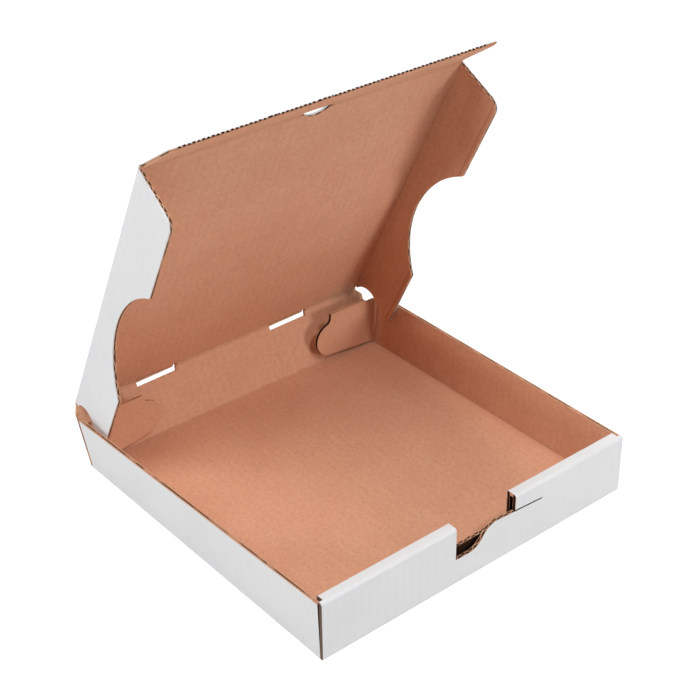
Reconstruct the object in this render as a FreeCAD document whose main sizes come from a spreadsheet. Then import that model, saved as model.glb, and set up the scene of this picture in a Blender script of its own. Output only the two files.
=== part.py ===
import FreeCAD, Part
import math
import os
import Sketcher
from FreeCAD import Placement, Rotation, Vector

# An open pizza box folded from corrugated board. Millimetres, +Z up, origin under the middle of
# the tray's floor. +Y points to the hinge side, the roll-over front is at -Y.
SIZES = {
    # board and its stacked layers
    "board": 2.6,
    "layer_gap": 0.1,
    "fold_round": 1.2,
    "roll_round": 2.2,
    "crush_width": 3,
    "crush_depth": 0.8,
    "flute_pitch": 6.5,
    "liner": 0.35,
    "flute_web": 0.5,
    "crushed_fold": 5,
    # tray
    "width": 254,
    "depth": 254,
    "side_wall": 42,
    "front_wall": 43.4,
    "lean_front": 1.5,
    "lean_left": 8.9,
    "lean_right": 6.3,
    "inner_lift": 0.3,
    "seam": 0.3,
    # notch in the front wall
    "notch_left": -22,
    "notch_right": 28.5,
    "notch_sill": 23.6,
    "notch_low": 19,
    "notch_high": 32.3,
    "slit_length": 24,
    "slit_width": 1,
    "slit_drop": 2,
    # corner flaps
    "corner_reach": 48.5,
    "nose_reach": 60,
    "nose_radius": 13.2,
    "nose_fillet": 5,
    "corner_foot": 3,
    "corner_top": 42,
    "corner_relief": 39.4,
    "relief_width": 6,
    "front_corner_reach": 52,
    # rear panel
    "back_height": 45,
    "back_lean": 21.8,
    "slot_length": 33,
    "slot_height": 3.5,
    "slot_top": 42.7,
    "slot_tilt": 0.8,
    "slot_lift": 2,
    "slot_right": 55.5,
    "slot_left": -61,
    "hinge_notch": 7,
    # lid
    "lid_raise": 62.9,
    "front_clear": 0.2,
    "lid_overhang": 0.6,
    "thumb_width": 23.8,
    "thumb_depth": 6.4,
    "thumb_place": 2.3,
    "back_fold": 90,
    # front flap of the lid
    "front_flap_depth": 36,
    "front_flap_angle": 30.1,
    "front_flap_closed": 94,
    "front_flap_inset": 1,
    "ear_depth": 2.2,
    "ear_left": -52.5,
    "ear_left_width": 8,
    "ear_right": -14.5,
    "ear_right_width": 13,
    # side flaps of the lid
    "flap_depth": 41.5,
    "flap_left_angle": 85.5,
    "flap_right_angle": 88,
    "flap_closed": 93,
    "flap_corner": 8,
    "flap_front_inset": 3.2,
    "flap_front_taper": 2.2,
    "flap_rear_inset": 6.5,
    "arc_middle": 117,
    "arc_width": 110,
    "arc_depth": 22.4,
    "rear_arc_centre": 16.5,
    "rear_arc_radius": 13.5,
    "rear_arc_offset": 8,
    "flap_rear_start": 3.5,
}

doc = FreeCAD.newDocument("pizza_box")
sheet = doc.addObject("Spreadsheet::Sheet", "Sizes")
for row, (alias, number) in enumerate(SIZES.items(), start=1):
    sheet.set(f"A{row}", alias)
    sheet.set(f"B{row}", str(number))
    sheet.setAlias(f"B{row}", alias)
doc.recompute()


class Size:
    """A size as its number and as the formula that ties it to the sheet."""

    def __init__(self, value, text):
        self.value = float(value)
        self.text = text

    def __add__(self, other):
        other = as_size(other)
        return Size(self.value + other.value, f"({self.text} + {other.text})")

    def __sub__(self, other):
        other = as_size(other)
        return Size(self.value - other.value, f"({self.text} - {other.text})")

    def __mul__(self, other):
        other = as_size(other)
        return Size(self.value * other.value, f"({self.text} * {other.text})")

    def __truediv__(self, other):
        other = as_size(other)
        return Size(self.value / other.value, f"({self.text} / {other.text})")

    def __neg__(self):
        return Size(-self.value, f"(0 - {self.text})")

    __radd__ = __add__
    __rmul__ = __mul__


def as_size(value):
    """A Size stays as it is; a bare number becomes one."""
    return value if isinstance(value, Size) else Size(value, repr(float(value)))


def size(alias):
    """The named size of the sheet."""
    return Size(sheet.get(alias), f"Sizes.{alias}")


def sine(angle):
    return Size(math.sin(math.radians(angle.value)), f"sin({angle.text})")


def cosine(angle):
    return Size(math.cos(math.radians(angle.value)), f"cos({angle.text})")


def tangent(angle):
    return Size(math.tan(math.radians(angle.value)), f"tan({angle.text})")


def root(square):
    return Size(math.sqrt(square.value), f"sqrt({square.text})")


board = size("board")
half_width = size("width") / 2
half_depth = size("depth") / 2
# three boards and the two gaps between them make the depth of the roll-over
layers = 3 * board + 2 * size("layer_gap")
lid_length = size("depth") - layers - size("front_clear")
half_lid = half_width - board + size("lid_overhang")


def bind(thing, name, amount):
    """Sets a property from the sheet."""
    thing.setExpression(name, as_size(amount).text)


def body(name):
    piece = doc.addObject("PartDesign::Body", name)
    piece.Label = name
    return piece


def sketch(piece, name, plane, corners, offset=0, turn=0, place=(0, 0)):
    """A closed outline on one of the body's planes, offset along the plane's normal.

    Each corner is (x, y) or (x, y, radius): a radius makes the edge that leaves the corner an arc,
    turning left where the radius is positive and right where it is negative.
    """
    support = next(f for f in piece.Origin.OriginFeatures if f.Role == plane)
    drawn = piece.newObject("Sketcher::SketchObject", name)
    drawn.AttachmentSupport = [(support, "")]
    drawn.MapMode = "FlatFace"
    turn = as_size(turn)
    drawn.AttachmentOffset = Placement(Vector(0, 0, 0), Rotation(Vector(0, 0, 1), turn.value))
    bind(drawn, "AttachmentOffset.Base.x", place[0])
    bind(drawn, "AttachmentOffset.Base.y", place[1])
    bind(drawn, "AttachmentOffset.Base.z", offset)
    if turn.value:
        bind(drawn, "AttachmentOffset.Rotation.Angle", turn)
    corners = [tuple(as_size(value) for value in corner) for corner in corners]
    ends = []
    arcs = []
    for index, corner in enumerate(corners):
        following = corners[(index + 1) % len(corners)]
        start = Vector(corner[0].value, corner[1].value, 0)
        end = Vector(following[0].value, following[1].value, 0)
        if len(corner) == 2:
            edge = drawn.addGeometry(Part.LineSegment(start, end), False)
            ends.append((edge, 1, 2))
            continue
        radius = corner[2]
        left = radius.value > 0
        middle = (start + end) * 0.5
        chord = end - start
        normal = Vector(-chord.y, chord.x, 0).normalize()
        rise = math.sqrt(max(radius.value ** 2 - chord.Length ** 2 / 4, 0))
        centre = middle + normal * (rise if left else -rise)
        first, last = (start, end) if left else (end, start)
        angles = [math.atan2(point.y - centre.y, point.x - centre.x) for point in (first, last)]
        if angles[1] < angles[0]:
            angles[1] += 2 * math.pi
        circle = Part.Circle(centre, Vector(0, 0, 1), abs(radius.value))
        edge = drawn.addGeometry(Part.ArcOfCircle(circle, angles[0], angles[1]), False)
        ends.append((edge, 1, 2) if left else (edge, 2, 1))
        arcs.append((edge, radius if left else -radius))
    for index, corner in enumerate(corners):
        edge, first, _ = ends[index]
        before, _, last = ends[index - 1]
        drawn.addConstraint(Sketcher.Constraint("Coincident", before, last, edge, first))
        for kind, amount in zip(("DistanceX", "DistanceY"), corner):
            number = drawn.addConstraint(Sketcher.Constraint(kind, -1, 1, edge, first, amount.value))
            if "Sizes" in amount.text:
                bind(drawn, f"Constraints[{number}]", amount)
    for edge, radius in arcs:
        number = drawn.addConstraint(Sketcher.Constraint("Radius", edge, radius.value))
        bind(drawn, f"Constraints[{number}]", radius)
    return drawn


def feature(piece, kind, name, drawn, length, centred=False, backwards=False):
    """A Pad or Pocket of a sketch."""
    made = piece.newObject(f"PartDesign::{kind}", name)
    made.Profile = drawn
    made.Midplane = centred
    made.Reversed = backwards
    bind(made, "Length", length)
    return made


def mitred_panel(piece, name, left, right, front, rear, setbacks):
    """A flat panel, outer face at z = 0, whose edges are cut back on the inner face for its folds."""
    panel = piece.newObject("PartDesign::AdditiveWedge", name)
    support = next(f for f in piece.Origin.OriginFeatures if f.Role == "XY_Plane")
    panel.AttachmentSupport = [(support, "")]
    panel.MapMode = "FlatFace"
    # the wedge's own Y axis runs inwards, from the outer face to the inner one
    panel.AttachmentOffset = Placement(Vector(0, 0, 0), Rotation(Vector(1, 0, 0), -90))
    cut_left, cut_right, cut_front, cut_rear = setbacks
    bounds = {
        "Xmin": left,
        "Xmax": right,
        "Zmin": front,
        "Zmax": rear,
        "Ymin": as_size(0),
        "Ymax": board,
        "X2min": left + cut_left,
        "X2max": right - cut_right,
        "Z2min": front + cut_front,
        "Z2max": rear - cut_rear,
    }
    for key in ("Ymax", "Xmax", "Zmax", "X2max", "Z2max", "Xmin", "Zmin", "X2min", "Z2min", "Ymin"):
        bind(panel, key, bounds[key])
    return panel


def setback(angle):
    """How far a mitre for a fold of this angle cuts the inner face back."""
    return board * tangent(angle / 2)


def rectangle(left, right, low, high):
    return [(left, low), (right, low), (right, high), (left, high)]


def folded_front(tray):
    """Floor and outer front panel in one bend, then the roll-over down to the floor."""
    front = -half_depth
    rear_cut = setback(size("back_fold"))
    top = size("front_wall")
    bend = size("fold_round")
    roll = size("roll_round")
    profile = [
        (half_depth, 0),
        (half_depth - rear_cut, board),
        (front + board, board),
        (front + board, top),
        (front + roll, top, roll),
        (front, top - roll),
        (front, bend, bend),
        (front + bend, 0),
    ]
    drawn = sketch(tray, "floor_and_front", "YZ_Plane", profile)
    feature(tray, "Pad", "floor_and_front_pad", drawn, size("width"), centred=True)
    inner = front + layers
    foot = board + size("inner_lift")
    rolled = [
        (front + board, top - board),
        (inner - board, top - board),
        (inner - board, foot),
        (inner, foot),
        (inner, top - bend, bend),
        (inner - bend, top),
        (front + board, top),
    ]
    drawn = sketch(tray, "roll_over", "YZ_Plane", rolled)
    span = 2 * (half_width - board - size("seam"))
    feature(tray, "Pad", "roll_over_pad", drawn, span, centred=True)


def side_wall(tray, name, side, lean):
    """A wall that leans out more at the rear: a ruled loft between its two end sections."""
    sections = []
    for end, place, angle in (
        ("front", -half_depth + board, size("lean_front")),
        ("rear", half_depth - board - size("seam"), lean),
    ):
        top = size("side_wall")
        out = side * half_width
        section = [
            (out, 0),
            (out + side * top * sine(angle), top * cosine(angle)),
            (out + side * (top * sine(angle) - board * cosine(angle)),
             top * cosine(angle) + board * sine(angle)),
            (out - side * board * cosine(angle), board * sine(angle)),
        ]
        sections.append(sketch(tray, f"{name}_{end}", "XZ_Plane", section, offset=-place))
    loft = tray.newObject("PartDesign::AdditiveLoft", name)
    loft.Profile = sections[0]
    loft.Sections = [sections[1]]
    loft.Ruled = True


def rear_corner_flap(tray, name, side, lean):
    """The flap turned in from a side wall, square to it, with its rounded nose."""
    nose = size("nose_radius")
    bend = size("nose_fillet")
    reach = size("corner_reach")
    foot = size("corner_foot")
    middle_x = size("nose_reach") - nose
    middle_y = foot + nose
    # the concave bend touches the nose and the straight end
    bend_x = reach + bend
    bend_y = middle_y + root((nose + bend) * (nose + bend) - (bend_x - middle_x) * (bend_x - middle_x))
    share = nose / (nose + bend)
    touch_x = middle_x + (bend_x - middle_x) * share
    touch_y = middle_y + (bend_y - middle_y) * share
    top = size("side_wall") - size("seam")
    start = board / 2
    outline = [
        (-side * start, foot),
        (-side * middle_x, foot, -side * nose),
        (-side * size("nose_reach"), middle_y, -side * nose),
        (-side * touch_x, touch_y, side * bend),
        (-side * reach, bend_y),
        (-side * reach, top),
        (-side * start, top),
    ]
    rear = half_depth - board - size("seam")
    drawn = sketch(
        tray, name, "XZ_Plane", outline, offset=-rear, turn=-side * lean, place=(side * half_width, 0)
    )
    feature(tray, "Pad", f"{name}_pad", drawn, board)


def front_corner_flap(tray, name, side):
    """The flap held between the two layers of the roll-over."""
    outer = half_width - board / 2
    inner = half_width - size("front_corner_reach")
    top = size("front_wall") - board - size("inner_lift")
    ends = (inner, outer) if side > 0 else (-outer, -inner)
    outline = rectangle(ends[0], ends[1], size("corner_foot"), top)
    place = -half_depth + board + size("layer_gap")
    drawn = sketch(tray, name, "XZ_Plane", outline, offset=-place)
    feature(tray, "Pad", f"{name}_pad", drawn, board, backwards=True)


def level_corner_top(tray, name, side, lean):
    """A rear corner flap ends level under the closed lid, and lower where the lid's flap passes."""
    top = size("corner_top")
    low = size("corner_relief")
    above = top + size("side_wall")
    inside = half_width - board + low * tangent(lean)
    step = half_width - board - size("relief_width")
    outline = [
        (side * inside, low),
        (side * inside, above),
        (0, above),
        (0, top),
        (side * (step - (top - low)), top),
        (side * step, low),
    ]
    rear = half_depth - size("seam") / 2
    drawn = sketch(tray, name, "XZ_Plane", outline, offset=-rear)
    feature(tray, "Pocket", f"{name}_cut", drawn, 3 * board, backwards=True)


def front_notch(tray):
    """The hand notch: a cut with an S-curve and a slit outside, a plain step inside."""
    left = size("notch_left")
    right = size("notch_right")
    low = size("notch_low")
    high = size("notch_high")
    above = size("front_wall") + board
    middle_x = left + (right - left) * 0.45
    middle_y = (low + high) / 2
    shelf_x = left + (right - left) * 0.26
    shelf_end = right - (right - left) * 0.28
    curve = 1.08 * (high - low)
    slit = size("slit_width")
    drop = size("slit_drop")
    end = right + size("slit_length")
    outline = [
        (left, low),
        (shelf_x, low, curve),
        (middle_x, middle_y, -curve),
        (shelf_end, high),
        (right, high - slit),
        (end, high - drop - slit / 2),
        (end, high - drop + slit / 2),
        (right, high),
        (right, above),
        (left, above),
    ]
    face = -half_depth
    drawn = sketch(tray, "notch_outside", "XZ_Plane", outline, offset=-face + board)
    feature(tray, "Pocket", "notch_outside_cut", drawn, 2 * board + size("layer_gap") / 2)
    step = rectangle(left, right, size("notch_sill"), above)
    drawn = sketch(tray, "notch_inside", "XZ_Plane", step, offset=-face - board)
    feature(tray, "Pocket", "notch_inside_cut", drawn, layers)


def make_tray():
    tray = body("tray")
    folded_front(tray)
    for side, hand in ((-1, "left"), (1, "right")):
        lean = size(f"lean_{hand}")
        side_wall(tray, f"{hand}_wall", side, lean)
        rear_corner_flap(tray, f"{hand}_rear_corner", side, lean)
        level_corner_top(tray, f"{hand}_level", side, lean)
        front_corner_flap(tray, f"{hand}_front_corner", side)
    front_notch(tray)
    return tray


def make_back_panel():
    """The rear wall, hinged at the floor and carrying the lid."""
    back = body("back_panel")
    height = size("back_height")
    cut = setback(size("back_fold"))
    profile = [(0, 0), (0, height), (-board, height - cut), (-board, cut)]
    drawn = sketch(back, "section", "YZ_Plane", profile)
    feature(back, "Pad", "section_pad", drawn, size("width"), centred=True)
    half = size("slot_length") / 2
    slot = size("slot_height")
    for hand in ("left", "right"):
        lift = size("slot_lift")
        outline = [(-half, -slot), (half, -slot), (half + lift / 2, lift), (half - lift, 0), (-half, 0)]
        drawn = sketch(
            back, f"{hand}_slot", "XZ_Plane", outline, offset=board / 2,
            turn=size("slot_tilt"), place=(size(f"slot_{hand}"), size("slot_top"))
        )
        feature(back, "Pocket", f"{hand}_slot_cut", drawn, 3 * board, centred=True)
    radius = size("hinge_notch")
    for side, hand in ((-1, "left"), (1, "right")):
        outer = side * half_width
        outline = [
            (outer, height - radius, side * -1 * radius),
            (outer - side * radius, height),
            (outer - side * radius, height + board),
            (outer + side * board, height + board),
            (outer + side * board, height - radius),
        ]
        drawn = sketch(back, f"{hand}_end_notch", "XZ_Plane", outline, offset=board / 2)
        feature(back, "Pocket", f"{hand}_end_notch_cut", drawn, 3 * board, centred=True)
    place = f"placement(vector(0; {half_depth.text}; 0); rotation(vector(1; 0; 0); -Sizes.back_lean))"
    back.setExpression("Placement", place)
    return back


def make_lid():
    """The lid panel, from the hinge to its front fold, with the thumb hole in that fold."""
    lid = body("lid")
    side_cut = setback(size("flap_closed"))
    cuts = (side_cut, side_cut, setback(size("front_flap_closed")), setback(size("back_fold")))
    mitred_panel(lid, "panel", -half_lid, half_lid, -lid_length, as_size(0), cuts)
    half = size("thumb_width") / 2
    depth = size("thumb_depth")
    radius = (half * half + depth * depth) / (2 * depth)
    middle = size("thumb_place")
    edge = -lid_length
    outline = [
        (middle + half, edge, radius),
        (middle - half, edge),
        (middle - half, edge - board),
        (middle + half, edge - board),
    ]
    drawn = sketch(lid, "thumb_hole", "XY_Plane", outline)
    feature(lid, "Pocket", "thumb_hole_cut", drawn, 3 * board, centred=True)
    hinge = "vector(0; 0; Sizes.back_height)"
    turn = "rotation(vector(1; 0; 0); Sizes.back_lean - Sizes.lid_raise)"
    lid.setExpression("Placement", f"back_panel.Placement * placement({hinge}; {turn})")
    return lid


def crushed_edge(flap, depth):
    """The free edge is pressed thinner on its inner side."""
    outer = depth + 2 * size("ear_depth")
    wedge = [
        (-depth + size("crush_width"), -board),
        (-depth, size("crush_depth") - board),
        (-outer, size("crush_depth") - board),
        (-outer, -board),
    ]
    drawn = sketch(flap, "crush", "YZ_Plane", wedge)
    feature(flap, "Pocket", "crush_cut", drawn, size("width"), centred=True)


def flute_channels(flap, half, depth):
    """The open ends of the flutes: two rows of arched channels, turned to each liner in turn."""
    pitch = size("flute_pitch")
    web = size("flute_web")
    low = size("crush_depth") + size("liner") - board
    high = -size("liner")
    wide = pitch / 2 - web
    narrow = wide * 0.3
    count = int((2 * half.value - 2 * pitch.value) / pitch.value)
    start = -pitch * (count / 2)
    for name, middle, base, tip in (
        ("lower", start, low, high),
        ("upper", start + pitch / 2, high, low),
    ):
        channel = [
            (middle - wide / 2, base),
            (middle + wide / 2, base),
            (middle + narrow / 2, tip),
            (middle - narrow / 2, tip),
        ]
        outer = depth + size("ear_depth") + 1
        drawn = sketch(flap, f"{name}_flute", "XZ_Plane", channel, offset=outer)
        length = outer - size("crushed_fold")
        cut = feature(flap, "Pocket", f"{name}_flute_cut", drawn, length)
        row = flap.newObject("PartDesign::LinearPattern", f"{name}_flutes")
        row.Originals = [cut]
        row.Direction = (drawn, ["H_Axis"])
        row.Mode = "Spacing"
        bind(row, "Offset", pitch)
        row.Occurrences = count
        flap.Tip = row


def make_front_flap():
    """The tuck flap at the front of the lid, with two small ears on its free edge."""
    flap = body("front_flap")
    none = as_size(0)
    inset = size("front_flap_inset")
    depth = size("front_flap_depth")
    cut = setback(size("front_flap_closed"))
    mitred_panel(flap, "panel", inset - half_lid, half_lid - inset, -depth, none, (none, none, none, cut))
    for hand in ("left", "right"):
        middle = size(f"ear_{hand}")
        half = size(f"ear_{hand}_width") / 2
        reach = size("ear_depth")
        outline = [
            (middle - half, -depth),
            (middle - half + reach, -depth - reach),
            (middle + half - reach, -depth - reach),
            (middle + half, -depth),
        ]
        drawn = sketch(flap, f"{hand}_ear", "XY_Plane", outline)
        feature(flap, "Pad", f"{hand}_ear_pad", drawn, board, backwards=True)
    crushed_edge(flap, depth)
    flute_channels(flap, half_lid - inset, depth)
    fold = f"vector(0; {(-lid_length).text}; 0)"
    turn = "rotation(vector(1; 0; 0); Sizes.front_flap_angle)"
    flap.setExpression("Placement", f"lid.Placement * placement({fold}; {turn})")
    return flap


def make_side_flap(hand, side):
    """A side flap of the lid: rounded front corner, wide arc in the free edge, arc at the rear."""
    flap = body(f"{hand}_flap")
    depth = size("flap_depth")
    corner = size("flap_corner")
    rear = -size("flap_rear_inset")
    front = -(lid_length - size("flap_front_inset"))
    front_low = front + size("flap_front_taper")
    half = size("arc_width") / 2
    sagitta = size("arc_depth")
    radius = (half * half + sagitta * sagitta) / (2 * sagitta)
    arc_front = -(size("arc_middle") + half)
    arc_rear = -(size("arc_middle") - half)
    bulge = size("rear_arc_radius")
    offset = size("rear_arc_offset")
    low = size("rear_arc_centre") + root(bulge * bulge - offset * offset)
    start = -size("flap_rear_start")
    inset = offset - (start - rear)
    high = size("rear_arc_centre") - root(bulge * bulge - inset * inset)
    deepest = rear - (bulge - offset)
    outline = [
        (0, start),
        (side * high, start, side * bulge),
        (side * size("rear_arc_centre"), deepest, side * bulge),
        (side * low, rear),
        (side * depth, rear),
        (side * depth, arc_rear, side * radius),
        (side * depth, arc_front),
        (side * depth, front_low + corner, -side * corner),
        (side * (depth - corner), front_low),
        (0, front),
    ]
    drawn = sketch(flap, "outline", "XY_Plane", outline)
    feature(flap, "Pad", "outline_pad", drawn, board, backwards=True)
    cut = setback(size("flap_closed"))
    wedge = [(0, 0), (side * cut, -board), (-side * cut, -board)]
    drawn = sketch(flap, "fold_mitre", "XZ_Plane", wedge)
    feature(flap, "Pocket", "fold_mitre_cut", drawn, 2 * lid_length, centred=True)
    edge = f"vector({(side * half_lid).text}; 0; 0)"
    turn = f"rotation(vector(0; 1; 0); {(side * size(f'flap_{hand}_angle')).text})"
    flap.setExpression("Placement", f"lid.Placement * placement({edge}; {turn})")
    return flap


pieces = [make_tray(), make_back_panel(), make_lid(), make_front_flap()]
pieces += [make_side_flap("left", -1), make_side_flap("right", 1)]
doc.recompute()

for thing in doc.Objects:
    if "Invalid" in thing.State or "Error" in thing.State:
        raise RuntimeError(f"{thing.Name} did not build: {thing.State}")
for piece in pieces:
    if piece.Shape.isNull() or not piece.Shape.isValid() or len(piece.Shape.Solids) != 1:
        raise RuntimeError(f"{piece.Label} is not one valid solid")

os.makedirs("parts", exist_ok=True)
for piece in pieces:
    piece.Shape.exportStep(f"parts/{piece.Label}.step")
    print(piece.Label, round(piece.Shape.Volume / 1000, 1), "cm3")
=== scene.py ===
import math
import bmesh
import bpy
from mathutils import Matrix, Vector


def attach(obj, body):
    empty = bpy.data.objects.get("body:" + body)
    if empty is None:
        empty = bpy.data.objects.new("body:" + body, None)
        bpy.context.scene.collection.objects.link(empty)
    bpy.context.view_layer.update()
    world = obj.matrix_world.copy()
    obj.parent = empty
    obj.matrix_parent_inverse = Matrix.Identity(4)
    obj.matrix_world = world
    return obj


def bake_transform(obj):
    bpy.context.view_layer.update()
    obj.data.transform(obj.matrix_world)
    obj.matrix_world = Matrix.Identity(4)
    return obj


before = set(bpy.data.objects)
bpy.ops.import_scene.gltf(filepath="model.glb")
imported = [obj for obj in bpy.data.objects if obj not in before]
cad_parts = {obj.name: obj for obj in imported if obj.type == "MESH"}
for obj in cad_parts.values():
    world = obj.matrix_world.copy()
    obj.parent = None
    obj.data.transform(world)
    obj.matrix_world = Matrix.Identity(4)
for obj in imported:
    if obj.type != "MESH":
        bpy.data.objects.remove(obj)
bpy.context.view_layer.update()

# The looks of an open pizza box, put on its CAD nodes. Metres, +Z up, origin under the middle of
# the floor, +Y to the hinge side, the notched front at -Y. The nodes keep their meshes and get
# materials. Five creases and two small hinge ends are new pieces.

# sizes of the box, as in its source
BOARD = 0.0026
PITCH = 0.0065
HALF = 0.127
LAYER_GAPS = 0.0002
REAR_CORNER = 0.1241
LID_HALF = 0.125
LID_LENGTH = 0.2458
BACK_HEIGHT = 0.045
BACK_LEAN = math.radians(21.8)
LID_RAISE = math.radians(62.9)
FRONT_FLAP = math.radians(30.1)
LEFT_FLAP = math.radians(85.5)
RIGHT_FLAP = math.radians(88)
FLAP_ELEVATION = LID_RAISE - FRONT_FLAP

# where the side walls' outer faces stand at their tops, at the front and at the rear
WALL_TOP_FRONT = HALF + 0.0011
WALL_TOP_REAR = {-1: HALF + 0.0066, 1: HALF + 0.0047}

# each panel's directions, along it from its fold and out of its white side, and the folds' middles
ACROSS = Vector((1, 0, 0))
BACK_UP = Vector((0, math.sin(BACK_LEAN), math.cos(BACK_LEAN)))
BACK_OUT = Vector((0, math.cos(BACK_LEAN), -math.sin(BACK_LEAN)))
LID_ALONG = Vector((0, -math.cos(LID_RAISE), math.sin(LID_RAISE)))
LID_OUT = Vector((0, math.sin(LID_RAISE), math.cos(LID_RAISE)))
FLAP_ALONG = Vector((0, -math.cos(FLAP_ELEVATION), math.sin(FLAP_ELEVATION)))
FLAP_OUT = Vector((0, math.sin(FLAP_ELEVATION), math.cos(FLAP_ELEVATION)))
FLOOR_HINGE = Vector((0, HALF, 0))
HINGE = FLOOR_HINGE + BACK_UP * BACK_HEIGHT
FRONT_FOLD = HINGE + LID_ALONG * LID_LENGTH

# colours, as linear RGB
KRAFT = (0.705, 0.362, 0.226)
KRAFT_LIGHT = (0.78, 0.46, 0.30)
KRAFT_DARK = (0.46, 0.21, 0.118)
KRAFT_FIBRE = (0.276, 0.126, 0.0708)
KRAFT_SPECK = (0.84, 0.60, 0.42)
KRAFT_SHADE = (0.10, 0.045, 0.025)
WHITE = (0.80, 0.80, 0.805)
WHITE_GREY = (0.70, 0.70, 0.705)
# painted shade: the next two near-black browns stand for the shade inside flute hollows, channels
# and narrow gaps
HOLLOW_SHADE = (0.020, 0.010, 0.006)
CAVITY_LIGHT = (0.035, 0.017, 0.010)
# the next two browns are cut board at the near corners, painted darker as shade of the corner
END_LIGHT = (0.20, 0.135, 0.105)
END_DARK = (0.11, 0.070, 0.052)

# noises: scale, detail, roughness, limits of their ramp, and stretch along x, y and z
KRAFT_CLOUDS = (28, 4.0, 0.65, (0.35, 0.68))
KRAFT_PULP = (420, 3.0, 0.7, (0.38, 0.66))
DARK_FIBRES = (900, 2.0, 0.6, (0.66, 0.74), (1, 0.35, 1))
LIGHT_FIBRES = (700, 2.0, 0.6, (0.66, 0.76), (0.4, 1, 1))
SPECKS = (1300, 1.0, 0.5, (0.70, 0.78))
WHITE_CLOUDS = (22, 4.0, 0.6, (0.35, 0.7))
WHITE_PULP = (500, 3.0, 0.7, (0.35, 0.7))
EDGE_PULP = (600, 3.0, 0.7, (0.35, 0.7))
LINE_BREAKS = (55, 2.0, 0.6, (0.40, 0.52))

# relief of the liners in their bump, as (pulp, flutes)
KRAFT_RELIEF = (0.25, 0.5)
WHITE_RELIEF = (0.12, 0.6)

# a line pressed into the brown liner: half-widths of it and of its bottom, its shade and its depth
PRESS_WIDE = 0.0009
PRESS_NARROW = 0.0003
PRESS_SHADE = 0.55
PRESS_DEPTH = -1.5
FLAP_PRESSED = 0.0385
# the floor's line lies at the side walls' inner foot: its darkening is painted shade in that
# corner, over the fold's pressed groove
FLOOR_PRESSED = 0.1239

# cut edges, in shares of the board's thickness: the fluted paper's swing, where the hollow starts
# and is full beside it and under the liners, and the middle and soft side of a cut along the flutes
ARCH_SWING = 0.30
ARCH_PAPER = (0.10, 0.22)
ARCH_LINERS = (0.40, 0.33)
LINE_MIDDLE = 0.55
LINE_SOFT = 0.1

# how dark the hollows are painted, as painted shade, and the half-width of one that is cut along
# the flutes
HOLLOW_DARK = 0.92
FRONT_DARK = 0.97
CORNER_DARK = 0.4
FULLY_DARK = 1.0
LINE_WIDTH = 0.22
# the cut ends at the right corner flap and at the front wall's layers are black over nearly the
# whole board: painted shade beside them
CORNER_WIDTH = 0.42
LAYER_WIDTH = 0.43

# how deep the outer liner's white rim reaches into an edge, in the same shares
RIM_SOFT = 0.1
FLAP_RIM = 0.2
WEB_RIM = 0.25
THUMB_RIM = 0.5

# limits that tell a panel's faces apart: how squarely a face looks one way, depths through the
# board, and distances from the hinge fold and from the middle
FACING = 0.9
ALONG_FLUTES = 0.95
OUTER_DEPTH = 0.05
INNER_DEPTH = 0.6
HINGE_NEAR = 0.0045
HINGE_SPAN = 0.1195
OPENING_SPAN = 0.08
CHANNEL_END = 0.97
CHANNEL_WEB = 0.3
FLAP_MIDDLE = 0.02

# the same for the tray
NEAR = 0.0001
WALL_FACING = 0.7
ROUNDED = 0.5
ONE_BOARD = 1.05 * BOARD
FLOOR_TOP = 1.01 * BOARD
UNDERSIDE = 0.5 * BOARD
CORNER_TOP = 0.038
FRONT_REACH = -HALF + 3.1 * BOARD
OUTER_LAYER = -HALF + 1.5 * BOARD
GAP_OUTER = -HALF + BOARD
GAP_INNER = -HALF + 2 * BOARD + LAYER_GAPS
GAP_TOP = 0.041
WALL_SIDE = HALF - 0.01 * BOARD
ROLL_END = 0.1235
ROLL_END_FACING = 0.99
NOTCH_START = -0.025
NOTCH_FINISH = 0.056
NOTCH_TOP = 0.0445
SLIT_START = 0.029
SLIT_LOW = 0.02
SLIT_HIGH = 0.04
SHELF = 0.043
SHELF_FACING = 0.98
OUTER_FOOT = 0.001
INNER_FOOT = 0.004

# creases: mesh steps, how far the bend sinks to its corner, the ring's root and the pressed groove
CREASE_STEP = PITCH / 6
CREASE_LEAST = 4
CREASE_PARTS = (0, 0.15, 0.3, 0.4, 0.5, 0.6, 0.7, 0.85, 1)
CREASE_DEPTH = 0.55
CREASE_ROOT = 0.05
CREASE_GROOVE = 0.0003
CREASE_RIPPLE = 0.5
CREASE_SPREAD = 0.16
# the creases' brown is a little darker than the panels': painted shade of the folds
CREASE_TONE = 0.93

# half angles of the side and front folds' mitres, and the stretches of fold that have a crease
SIDE_MITRE = math.radians(46.5)
FRONT_MITRE = math.radians(47)
SIDE_CREASE = ((0.0035, 0.2426),)
FLOOR_CREASE = ((-0.1235, 0.1235),)
HINGE_CREASE = ((-0.1225, -0.0778), (-0.0433, 0.0387), (0.0733, 0.1223))
FRONT_CREASE = ((-0.123, -0.0096), (0.0142, 0.123))

# fills of the rear panel's round hinge notches
NOTCH_RADIUS = 0.0069
NOTCH_END = 0.02
NOTCH_PARTS = 10
NOTCH_MERGE = 0.00001
LEFT_CUT = 0.0028

# the photograph's camera, from a fit to the square base: angles in degrees, its place to the
# right, up and back of the origin, and its focal length in pixels of a frame 700 pixels wide
CAMERA_AZIMUTH = -39.41
CAMERA_ELEVATION = 31.89
CAMERA_ROLL = -0.76
CAMERA_PLACE = (-0.0006, 0.0866, 1.062)
FOCAL_PIXELS = 1563
FRAME_PIXELS = 700
SENSOR_WIDTH = 36
CLIP_START = 0.05

# floor and world: the floor's colour to other rays and in its shadows, and strengths of light
FLOOR_SIZE = 6
FLOOR_DROP = -0.0002
FLOOR_COLOUR = (0.80, 0.80, 0.80, 1)
FLOOR_SHADOWED = (0.30, 0.30, 0.30, 1)
FLOOR_GLOW = 0.92
WORLD_COLOUR = (0.95, 0.97, 1.0, 1)
WORLD_STRENGTH = 0.12
PURE_WHITE = (1, 1, 1, 1)

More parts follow.
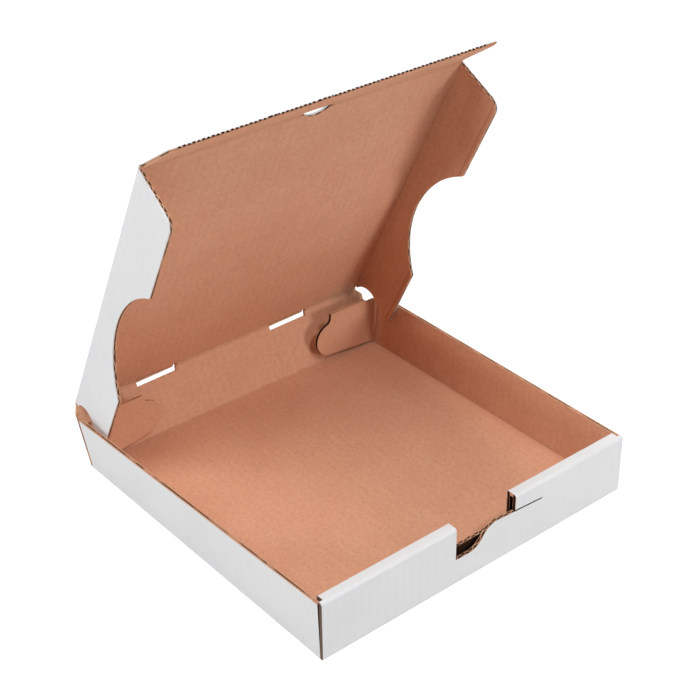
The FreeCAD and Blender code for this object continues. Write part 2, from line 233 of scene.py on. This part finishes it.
# round lamps: name, place, the point that it faces, width in metres, power in watts
LAMPS = (
    ("left_top", (-0.80, -0.05, 1.30), (0, 0, 0.05), 0.7, 11),
    ("key", (0.24, -0.80, 1.30), (0, 0, 0.05), 0.2, 6.4),
    ("front", (0.65, -1.50, 0.50), (0, 0, 0.10), 0.5, 8.6),
    ("right", (1.40, 0.35, 0.45), (0, 0, 0.10), 0.5, 5),
    ("rear", (0.35, 1.45, 1.00), (0, 0, 0.10), 0.6, 9),
    ("left_low", (-1.40, 0.16, 0.08), (0, 0.04, 0.10), 0.12, 3.6),
)


class Nodes:
    """Short forms for building the nodes of a material or a world."""

    def __init__(self, owner):
        owner.use_nodes = True
        self.owner = owner
        self.tree = owner.node_tree
        self.shader = self.tree.nodes.get("Principled BSDF")

    def node(self, kind, inputs=None, **settings):
        made = self.tree.nodes.new(f"ShaderNode{kind}")
        for key, value in settings.items():
            setattr(made, key, value)
        for key, value in (inputs or {}).items():
            if isinstance(value, bpy.types.NodeSocket):
                self.tree.links.new(value, made.inputs[key])
            else:
                made.inputs[key].default_value = value
        return made

    def place(self):
        return self.node("TexCoord").outputs["Object"]

    def math(self, operation, first, second=0.0, third=0.0):
        made = self.node("Math", {0: first, 1: second, 2: third}, operation=operation)
        return made.outputs[0]

    def along(self, direction, origin=(0, 0, 0)):
        """Distance from the origin along a direction, in metres, in the box's frame at rest."""
        inputs = {0: self.place(), 1: origin}
        moved = self.node("VectorMath", inputs, operation="SUBTRACT").outputs[0]
        made = self.node("VectorMath", {0: moved, 1: direction}, operation="DOT_PRODUCT")
        return made.outputs["Value"]

    def ramp(self, value, low, high):
        """0 at low, 1 at high, clamped."""
        made = self.node("MapRange", {"Value": value, "From Min": low, "From Max": high})
        made.clamp = True
        return made.outputs["Result"]

    def grain(self, scale, detail, roughness, limits, stretch=(1, 1, 1)):
        """Noise, ramped from the first limit to the second."""
        place = self.node("Mapping", {"Vector": self.place(), "Scale": stretch}).outputs[0]
        inputs = {"Vector": place, "Scale": scale, "Detail": detail, "Roughness": roughness}
        return self.ramp(self.node("TexNoise", inputs).outputs["Fac"], *limits)

    def mix(self, amount, first, second):
        made = self.node("Mix", data_type="RGBA")
        for index, value in ((0, amount), (6, first), (7, second)):
            if isinstance(value, bpy.types.NodeSocket):
                self.tree.links.new(value, made.inputs[index])
            else:
                made.inputs[index].default_value = (*value, 1)
        return made.outputs[2]

    def tint(self, colour, mask, share, towards):
        """The colour, with a share of another one where the mask is 1."""
        return self.mix(self.math("MULTIPLY", mask, share), colour, towards)

    def white_rim(self, colour, depth, rim):
        """The colour, with the white liner down to the depth rim."""
        return self.mix(self.ramp(depth, rim + RIM_SOFT, rim), colour, WHITE)

    def shown(self):
        """1 for the rays of the camera, of gloss and of glass."""
        rays = self.node("LightPath").outputs
        seen = self.math("MAXIMUM", rays["Is Camera Ray"], rays["Is Glossy Ray"])
        return self.math("MAXIMUM", seen, rays["Is Transmission Ray"])

    def finish(self, colour, height, strength, distance, roughness, gloss):
        """Joins colour and bump to the shader, and gives the material."""
        self.tree.links.new(colour, self.shader.inputs["Base Color"])
        self.shader.inputs["Roughness"].default_value = roughness
        self.shader.inputs["Specular IOR Level"].default_value = gloss
        bump = self.node("Bump", {"Height": height, "Strength": strength, "Distance": distance})
        self.tree.links.new(bump.outputs[0], self.shader.inputs["Normal"])
        return self.owner


def new_nodes(name):
    """The nodes of a new material."""
    return Nodes(bpy.data.materials.new(name))


def flute_sine(nodes, across):
    """A sine with the flutes' pitch."""
    turns = nodes.math("MULTIPLY", nodes.along(across), 2 * math.pi / PITCH)
    return nodes.math("SINE", turns)


def flute_wave(nodes, across):
    """The washboard of the flutes under the liner, from 0 to 1."""
    return nodes.math("MULTIPLY_ADD", flute_sine(nodes, across), 0.5, 0.5)


def relief(nodes, pulp, wave, heights):
    """Height of a liner, from its pulp and the flutes under it."""
    of_pulp, of_flutes = heights
    return nodes.math("MULTIPLY_ADD", pulp, of_pulp, nodes.math("MULTIPLY", wave, of_flutes))


def kraft(name, across, tone=1.0, pressed=None):
    """Brown liner: mottled pulp, darker and lighter fibres, flute lines in painted shade, specks.

    pressed is (a point, how far from it along across a line is pressed in on either side).
    """
    nodes = new_nodes(name)
    colour, light, dark, fibre, speck = (
        tuple(tone * part for part in shade)
        for shade in (KRAFT, KRAFT_LIGHT, KRAFT_DARK, KRAFT_FIBRE, KRAFT_SPECK)
    )
    pulp = nodes.grain(*KRAFT_PULP)
    wave = flute_wave(nodes, across)
    for mask, share, towards in (
        (nodes.grain(*KRAFT_CLOUDS), 0.35, light),
        (pulp, 0.30, dark),
        (nodes.grain(*DARK_FIBRES), 0.45, fibre),
        (nodes.grain(*LIGHT_FIBRES), 0.35, light),
        # flute lines: painted shade of the washboard
        (wave, 0.06, dark),
        (nodes.grain(*SPECKS), 0.5, speck),
    ):
        colour = nodes.tint(colour, mask, share, towards)
    height = relief(nodes, pulp, wave, KRAFT_RELIEF)
    if pressed is not None:
        origin, distance = pressed
        reach = nodes.math("ABSOLUTE", nodes.along(across, origin))
        off = nodes.math("ABSOLUTE", nodes.math("SUBTRACT", reach, distance))
        line = nodes.ramp(off, PRESS_WIDE, PRESS_NARROW)
        colour = nodes.tint(colour, line, PRESS_SHADE, dark)
        height = nodes.math("MULTIPLY_ADD", line, PRESS_DEPTH, height)
    return nodes.finish(
        colour, height, strength=0.25, distance=0.00025, roughness=0.85, gloss=0.25
    )


def white(name, across):
    """Bleached liner: nearly even, with faint flutes in painted shade and a little grey mottling.
    """
    nodes = new_nodes(name)
    pulp = nodes.grain(*WHITE_PULP)
    wave = flute_wave(nodes, across)
    colour = WHITE
    # the flute wave here is painted shade of the washboard
    for mask, share in ((nodes.grain(*WHITE_CLOUDS), 0.30), (pulp, 0.16), (wave, 0.06)):
        colour = nodes.tint(colour, mask, share, WHITE_GREY)
    height = relief(nodes, pulp, wave, WHITE_RELIEF)
    return nodes.finish(colour, height, strength=0.2, distance=0.0002, roughness=0.7, gloss=0.25)


def board_depth(outward, face):
    """Depth through a flat board, from 0 at its outer side, which holds face, to 1 inside."""
    return lambda nodes: nodes.math("DIVIDE", nodes.along(outward, face), -BOARD)


def wall_depth(side):
    """Depth through a side wall near its top, where its lean grows from front to rear."""
    growth = (WALL_TOP_REAR[side] - WALL_TOP_FRONT) / (2 * HALF)

    def depth(nodes):
        from_front = nodes.along((0, 1, 0), (0, -HALF, 0))
        outer = nodes.math("MULTIPLY_ADD", from_front, growth, WALL_TOP_FRONT)
        below = nodes.math("SUBTRACT", outer, nodes.along((side, 0, 0)))
        return nodes.math("DIVIDE", below, BOARD)

    return depth


def arch_hollow(nodes, depth, across):
    """The hollows of a cut across the flutes: what the fluted paper and the liners leave open."""
    wave = nodes.math("MULTIPLY_ADD", flute_sine(nodes, across), ARCH_SWING, 0.5)
    from_wave = nodes.math("ABSOLUTE", nodes.math("SUBTRACT", depth, wave))
    from_middle = nodes.math("ABSOLUTE", nodes.math("SUBTRACT", depth, 0.5))
    beside_wave = nodes.ramp(from_wave, *ARCH_PAPER)
    return nodes.math("MULTIPLY", beside_wave, nodes.ramp(from_middle, *ARCH_LINERS))


def line_hollow(nodes, depth, width, whole):
    """The hollow of a cut along the flutes: a line, broken here and there unless whole."""
    middle = nodes.math("ABSOLUTE", nodes.math("SUBTRACT", depth, LINE_MIDDLE))
    hole = nodes.ramp(middle, width, width - LINE_SOFT)
    if whole:
        return hole
    broken = nodes.grain(*LINE_BREAKS)
    return nodes.math("MULTIPLY", hole, nodes.math("MULTIPLY_ADD", broken, 0.75, 0.25))


def edge(name, depth_of, across=None, amount=HOLLOW_DARK, width=LINE_WIDTH, whole=False, rim=None):
    """A cut edge: brown paper, hollows in painted shade between the liners, a white rim where
    asked.

    Without across it is cut along the flutes. amount is how dark the hollows are. width is the
    line's half-width and rim the white liner's depth, both in shares of the board's thickness.
    """
    nodes = new_nodes(name)
    depth = depth_of(nodes)
    if across is None:
        hole = line_hollow(nodes, depth, width, whole)
    else:
        hole = arch_hollow(nodes, depth, across)
    pulp = nodes.grain(*EDGE_PULP)
    colour = nodes.mix(nodes.math("MULTIPLY_ADD", pulp, 0.5, 0.25), KRAFT_LIGHT, KRAFT_DARK)
    # the hollows are tinted near-black: painted shade inside them, on top of their bump
    colour = nodes.tint(colour, hole, amount, HOLLOW_SHADE)
    if rim is not None:
        colour = nodes.white_rim(colour, depth, rim)
    height = nodes.math("SUBTRACT", 1.0, hole)
    return nodes.finish(colour, height, strength=0.6, distance=0.0005, roughness=0.9, gloss=0.05)


def paper(name, light=KRAFT_LIGHT, dark=KRAFT_DARK, depth_of=None):
    """Bare paper without flute lines, with the outer liner's white rim where a depth is given."""
    nodes = new_nodes(name)
    pulp = nodes.grain(*EDGE_PULP)
    colour = nodes.tint(light, pulp, 0.5, dark)
    if depth_of is not None:
        colour = nodes.white_rim(colour, depth_of(nodes), WEB_RIM)
    return nodes.finish(colour, pulp, strength=0.3, distance=0.0002, roughness=0.9, gloss=0.0)


def dress(node, materials, part_of):
    """Gives a node its materials, and each face the one that part_of names without the node."""
    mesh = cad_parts[node].data
    mesh.materials.clear()
    for material in materials:
        mesh.materials.append(material)
    places = {material.name: place for place, material in enumerate(materials)}
    for polygon in mesh.polygons:
        part = part_of(polygon.center, polygon.normal)
        polygon.material_index = places[f"{node}_{part}"]


def dress_panel(node, outward, across, face, pressed=None):
    """The white liner outside, the brown one inside, and the cut edge round a panel's rim."""
    depth_of = board_depth(outward, face)
    dress(
        node,
        (
            white(f"{node}_white", across),
            kraft(f"{node}_kraft", across, pressed=pressed),
            edge(f"{node}_edge", depth_of, across, rim=FLAP_RIM),
            edge(f"{node}_line", depth_of, rim=FLAP_RIM),
            # hollow is near-black, painted shade inside the board; rim is dark brown, partly
            # painted shade
            paper(f"{node}_hollow", HOLLOW_SHADE, KRAFT_SHADE),
            paper(f"{node}_web"),
            paper(f"{node}_rim", KRAFT_DARK, KRAFT_SHADE, depth_of),
            edge(f"{node}_thumb", depth_of, across, rim=THUMB_RIM),
        ),
        lambda centre, normal: panel_part(node, outward, across, face, centre, normal),
    )


def panel_part(node, outward, across, face, centre, normal):
    """Which of a panel's materials a face has, by its place and direction."""
    aim = normal.dot(outward)
    depth = (centre - face).dot(outward) / -BOARD
    # faces inside the board's thickness get the near-black hollow paper: painted shade
    if aim > FACING:
        return "white" if depth < OUTER_DEPTH else "hollow"
    if aim < -FACING:
        return "kraft" if depth > INNER_DEPTH else "hollow"
    if node in ("back_panel", "lid"):
        from_hinge = Vector((0, centre.y - HINGE.y, centre.z - HINGE.z)).length
        if from_hinge < HINGE_NEAR and abs(centre.x) < HINGE_SPAN:
            return "web"
        if abs(centre.x) < OPENING_SPAN:
            return "web" if node == "back_panel" else "thumb"
    if node == "front_flap" and abs(normal.x) < CHANNEL_END:
        # its free edge has real flute channels, so what stands between them is plain paper, dark
        # brown and partly painted shade; the channels' insides get near-black painted shade
        if abs(normal.x) > CHANNEL_WEB:
            return "hollow" if abs(aim) > CHANNEL_WEB else "rim"
        if normal.dot(FLAP_ALONG) > FACING:
            reach = (centre - FRONT_FOLD).dot(FLAP_ALONG)
            return "rim" if reach > FLAP_MIDDLE else "hollow"
    return "line" if abs(normal.dot(across)) > ALONG_FLUTES else "edge"


def dress_tray():
    """White outside and over the roll-over, brown inside, cut edges where the board ends."""
    along = Vector((0, 1, 0))
    outer = board_depth(-along, Vector((0, -HALF, 0)))
    inner = board_depth(along, Vector((0, -HALF + 3 * BOARD + LAYER_GAPS, 0)))
    corner = board_depth(along, Vector((0, REAR_CORNER, 0)))
    dress(
        "tray",
        (
            white("tray_white", ACROSS),
            # the floor's pressed line at the side walls' foot is darkened as painted shade in that
            # corner
            kraft("tray_kraft", ACROSS, pressed=(Vector(), FLOOR_PRESSED)),
            edge("tray_front_edge", outer, ACROSS, FRONT_DARK),
            white("tray_side_white", along),
            kraft("tray_side_kraft", along),
            edge("tray_side_edge", corner, amount=CORNER_DARK),
            edge("tray_roll_edge", inner, ACROSS, FRONT_DARK),
            edge("tray_left_top", wall_depth(-1)),
            edge("tray_right_top", wall_depth(1)),
            # painted shade: the corner flap's end and the layer ends below are near-black over
            # nearly the whole board
            edge("tray_corner_end", corner, None, FULLY_DARK, CORNER_WIDTH, whole=True),
            # painted shade: the gap between the front wall's layers and the slit are painted
            # near-black
            paper("tray_gap", CAVITY_LIGHT, HOLLOW_SHADE),
            edge("tray_front_end", outer, None, FULLY_DARK, LAYER_WIDTH, whole=True),
            edge("tray_roll_end", inner, None, FULLY_DARK, LAYER_WIDTH, whole=True),
            # cut board at the near corners and the roll-over's ends, darkened with painted shade
            paper("tray_near_corner", END_LIGHT, END_DARK),
        ),
        tray_part,
    )


def tray_part(centre, normal):
    """Which of the tray's materials a face has, by its place and direction."""
    if centre.y > REAR_CORNER - NEAR and normal.y > FACING:
        return "side_white"
    if centre.y < FRONT_REACH:
        return front_part(centre, normal)
    if normal.z < -FACING and centre.z < UNDERSIDE:
        return "white"
    within_walls = abs(centre.x) < HALF - ONE_BOARD
    if centre.y > REAR_CORNER - ONE_BOARD and within_walls and centre.z > BOARD:
        if normal.y < -FACING:
            return "side_kraft"
        on_top = normal.z > FACING and centre.z > CORNER_TOP
        # the right corner flap's cut end is painted near-black: painted shade behind the flap
        return "side_edge" if centre.x < 0 or on_top else "corner_end"
    if centre.z < FLOOR_TOP and (normal.z > FACING or abs(normal.y) > ROUNDED):
        return "kraft"
    if normal.z > FACING:
        return wall_top(centre)
    outward = normal.x * math.copysign(1, centre.x)
    if abs(outward) > WALL_FACING:
        return "side_white" if outward > 0 else "side_kraft"
    return "side_edge"


def front_part(centre, normal):
    """The same for the front wall, which is rolled over to a second layer inside."""
    at_side = abs(centre.x) > WALL_SIDE
    # the gap between the layers gets the near-black paper: painted shade
    if GAP_OUTER - NEAR < centre.y < GAP_INNER + NEAR and centre.z < GAP_TOP:
        return "gap"
    if at_side and abs(normal.x) > FACING:
        # the near corner's seam: cut board, darkened with painted shade
        if centre.y < GAP_OUTER - NEAR:
            return "near_corner"
        return "side_white" if normal.x * centre.x > 0 else "side_kraft"
    # the roll-over's ends: cut board, darkened with painted shade
    if abs(normal.x) > ROLL_END_FACING and abs(centre.x) > ROLL_END:
        return "near_corner"
    if normal.z > FACING and at_side and centre.y > GAP_OUTER:
        return wall_top(centre)
    # the slit's faces get the same near-black paper: painted shade
    at_slit = SLIT_START < centre.x < NOTCH_FINISH and SLIT_LOW < centre.z < SLIT_HIGH
    if at_slit and abs(normal.z) > ROUNDED:
        return "gap"
    at_notch = NOTCH_START < centre.x < NOTCH_FINISH and centre.z < NOTCH_TOP
    if abs(normal.y) > FACING or not at_notch:
        at_foot = normal.z < -FACING and OUTER_FOOT <= centre.z < INNER_FOOT
        return "roll_edge" if at_foot else "white"
    in_outer = centre.y < OUTER_LAYER
    # the layers' ends at the notch are painted near-black over most of the board: painted shade
    if abs(normal.x) > FACING:
        return "front_end" if in_outer else "roll_end"
    if normal.z > SHELF_FACING and centre.z > SHELF:
        # the roll-over's flat top beside the notch, however it is split into triangles
        return "white"
    return "front_edge" if in_outer else "roll_edge"


def wall_top(centre):
    """The top of the side wall on that side."""
    return "left_top" if centre.x < 0 else "right_top"


def new_object(name, shape):
    """An object in the scene, from a bmesh that it uses up."""
    mesh = bpy.data.meshes.new(name)
    shape.to_mesh(mesh)
    shape.free()
    made = bpy.data.objects.new(name, mesh)
    bpy.context.scene.collection.objects.link(made)
    return made


def crease(name, origin, near, far, setback, along, spans):
    """The brown inner side of a fold, from one panel's inner edge to the other's.

    near and far are each (direction into the panel from the fold, direction through the board to
    its inner side). setback is how far the mitre brings each inner edge back from the fold.
    """
    start = near[0] * setback + near[1] * BOARD
    end = far[0] * setback + far[1] * BOARD
    chord = (start + end) / 2
    bend = math.pi - near[0].angle(far[0])
    corner = near[0] * (BOARD * math.tan(bend / 2)) + near[1] * BOARD
    control = chord.lerp(corner, CREASE_DEPTH)
    shape = bmesh.new()
    for low, high in spans:
        count = max(CREASE_LEAST, round((high - low) / CREASE_STEP))
        rings = []
        for step in range(count + 1):
            place = low + (high - low) * step / count
            ripple = CREASE_RIPPLE * math.sin(2 * math.pi * place / PITCH)
            ring = [origin + along * place + chord * CREASE_ROOT]
            for part in CREASE_PARTS:
                rest = 1 - part
                point = start * rest ** 2 + control * (2 * part * rest) + end * part ** 2
                spread = math.exp(-((part - 0.5) / CREASE_SPREAD) ** 2)
                groove = CREASE_GROOVE * (1 + ripple) * spread
                ring.append(origin + along * place + point - chord.normalized() * groove)
            rings.append([shape.verts.new(point) for point in ring])
        for first, second in zip(rings, rings[1:]):
            for index in range(len(first)):
                after = (index + 1) % len(first)
                shape.faces.new((first[index], first[after], second[after], second[index]))
        shape.faces.new(rings[0])
        shape.faces.new(list(reversed(rings[-1])))
    bmesh.ops.recalc_face_normals(shape, faces=shape.faces)
    piece = new_object(name, shape)
    for polygon in piece.data.polygons:
        polygon.use_smooth = len(polygon.vertices) == 4
    # a little darker tone: painted shade in the fold
    piece.data.materials.append(kraft(f"{name}_kraft", along, CREASE_TONE))
    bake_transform(piece)


def hinge_end(name, side, cut):
    """Fills a round hinge notch of the rear panel up to the straighter line of the photograph.

    cut is how far from the panel's side that line meets the hinge. The outer ring ends just below
    the fold, and the inner one a board's thickness below it, where the mitre is.
    """
    shape = bmesh.new()
    outer, inner = [], []
    for ring, out, reach in ((outer, 0, NOTCH_END), (inner, -BOARD, BOARD / NOTCH_RADIUS)):
        limit = math.acos(reach)
        turns = [min(limit, math.pi / 2 * step / NOTCH_PARTS) for step in range(NOTCH_PARTS + 1)]
        corners = [
            (HALF - NOTCH_RADIUS * math.sin(turn), NOTCH_RADIUS * math.cos(turn)) for turn in turns
        ]
        corners.append((HALF - cut * (1 - reach), NOTCH_RADIUS * reach))
        for along, drop in corners:
            place = HINGE + ACROSS * (side * along) - BACK_UP * drop + BACK_OUT * out
            ring.append(shape.verts.new(place))
    for index in range(len(outer)):
        after = (index + 1) % len(outer)
        rim = shape.faces.new((outer[index], outer[after], inner[after], inner[index]))
        rim.material_index = 2
    shape.faces.new(outer).material_index = 0
    shape.faces.new(list(reversed(inner))).material_index = 1
    bmesh.ops.remove_doubles(shape, verts=shape.verts, dist=NOTCH_MERGE)
    bmesh.ops.recalc_face_normals(shape, faces=shape.faces)
    piece = new_object(name, shape)
    piece.data.materials.append(white(f"{name}_white", ACROSS))
    piece.data.materials.append(kraft(f"{name}_kraft", ACROSS))
    piece.data.materials.append(paper(f"{name}_rim"))
    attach(piece, "back_panel")


def side_out(side, angle):
    """Outward direction of a side flap."""
    return Vector((side * math.sin(angle), 0, 0)) + LID_OUT * math.cos(angle)


def side_across(side, angle):
    """Direction down the side flap, away from its fold."""
    return Vector((side * math.cos(angle), 0, 0)) - LID_OUT * math.sin(angle)


def camera():
    """The photograph's camera."""
    azimuth = math.radians(CAMERA_AZIMUTH)
    elevation = math.radians(CAMERA_ELEVATION)
    roll = math.radians(CAMERA_ROLL)
    back = Vector((
        math.sin(azimuth) * math.cos(elevation),
        -math.cos(azimuth) * math.cos(elevation),
        math.sin(elevation),
    ))
    level_right = Vector((0, 0, 1)).cross(back).normalized()
    level_up = back.cross(level_right)
    right = level_right * math.cos(roll) + level_up * math.sin(roll)
    up = level_up * math.cos(roll) - level_right * math.sin(roll)
    place = right * CAMERA_PLACE[0] + up * CAMERA_PLACE[1] + back * CAMERA_PLACE[2]
    data = bpy.data.cameras.new("camera")
    data.sensor_width = SENSOR_WIDTH
    data.lens = SENSOR_WIDTH * FOCAL_PIXELS / FRAME_PIXELS
    data.clip_start = CLIP_START
    seen = bpy.data.objects.new("camera", data)
    seen.matrix_world = Matrix((
        (right.x, up.x, back.x, place.x),
        (right.y, up.y, back.y, place.y),
        (right.z, up.z, back.z, place.z),
        (0, 0, 0, 1),
    ))
    bpy.context.scene.collection.objects.link(seen)
    bpy.context.scene.camera = seen


def floor():
    """A pale floor that keeps the object's shadow and shows white to the camera."""
    shape = bmesh.new()
    bmesh.ops.create_grid(shape, x_segments=1, y_segments=1, size=FLOOR_SIZE)
    ground = new_object("floor", shape)
    ground.location.z = FLOOR_DROP
    nodes = new_nodes("floor")
    nodes.shader.inputs["Base Color"].default_value = FLOOR_COLOUR
    nodes.shader.inputs["Roughness"].default_value = 0.9
    nodes.shader.inputs["Specular IOR Level"].default_value = 0
    pale = nodes.node("BsdfDiffuse", {"Color": FLOOR_SHADOWED})
    glow = nodes.node("Emission", {"Color": PURE_WHITE, "Strength": FLOOR_GLOW})
    seen = nodes.node("AddShader", {0: pale.outputs[0], 1: glow.outputs[0]})
    inputs = {0: nodes.shown(), 1: nodes.shader.outputs[0], 2: seen.outputs[0]}
    final = nodes.node("MixShader", inputs)
    surface = nodes.tree.nodes["Material Output"].inputs["Surface"]
    nodes.tree.links.new(final.outputs[0], surface)
    ground.data.materials.append(nodes.owner)


def backdrop():
    """White to the camera and in gloss, and a plain level of light on the object."""
    world = bpy.data.worlds.new("world")
    bpy.context.scene.world = world
    nodes = Nodes(world)
    nodes.tree.nodes.clear()
    light = nodes.node("Background", {"Color": WORLD_COLOUR, "Strength": WORLD_STRENGTH})
    behind = nodes.node("Background", {"Color": PURE_WHITE, "Strength": 1.0})
    inputs = {0: nodes.shown(), 1: light.outputs[0], 2: behind.outputs[0]}
    final = nodes.node("MixShader", inputs)
    nodes.node("OutputWorld", {"Surface": final.outputs[0]})


def lamp(name, place, aim, size, power):
    data = bpy.data.lights.new(name, "AREA")
    data.shape = "DISK"
    data.size = size
    data.energy = power
    lit = bpy.data.objects.new(name, data)
    lit.location = place
    lit.rotation_euler = (Vector(place) - Vector(aim)).to_track_quat("Z", "Y").to_euler()
    bpy.context.scene.collection.objects.link(lit)


bpy.context.scene.view_settings.view_transform = "Standard"
camera()
dress_tray()
dress_panel("back_panel", BACK_OUT, ACROSS, FLOOR_HINGE)
dress_panel("lid", LID_OUT, ACROSS, HINGE)
dress_panel("front_flap", FLAP_OUT, ACROSS, FRONT_FOLD)
for flap, side, turn in (("left_flap", -1, LEFT_FLAP), ("right_flap", 1, RIGHT_FLAP)):
    fold = HINGE + ACROSS * (side * LID_HALF)
    out = side_out(side, turn)
    down = side_across(side, turn)
    dress_panel(flap, out, down, fold, pressed=(fold, FLAP_PRESSED))
    crease(
        f"crease_{flap}", fold,
        (-side * ACROSS, -LID_OUT), (down, -out),
        BOARD * math.tan(SIDE_MITRE), LID_ALONG, SIDE_CREASE,
    )
crease(
    "crease_floor", FLOOR_HINGE,
    (Vector((0, -1, 0)), Vector((0, 0, 1))), (BACK_UP, -BACK_OUT),
    BOARD, ACROSS, FLOOR_CREASE,
)
crease(
    "crease_hinge", HINGE,
    (-BACK_UP, -BACK_OUT), (LID_ALONG, -LID_OUT),
    BOARD, ACROSS, HINGE_CREASE,
)
crease(
    "crease_front", FRONT_FOLD,
    (-LID_ALONG, -LID_OUT), (FLAP_ALONG, -FLAP_OUT),
    BOARD * math.tan(FRONT_MITRE), ACROSS, FRONT_CREASE,
)
hinge_end("hinge_end_left", -1, LEFT_CUT)
hinge_end("hinge_end_right", 1, NOTCH_RADIUS)

floor()
backdrop()
for row in LAMPS:
    lamp(*row)
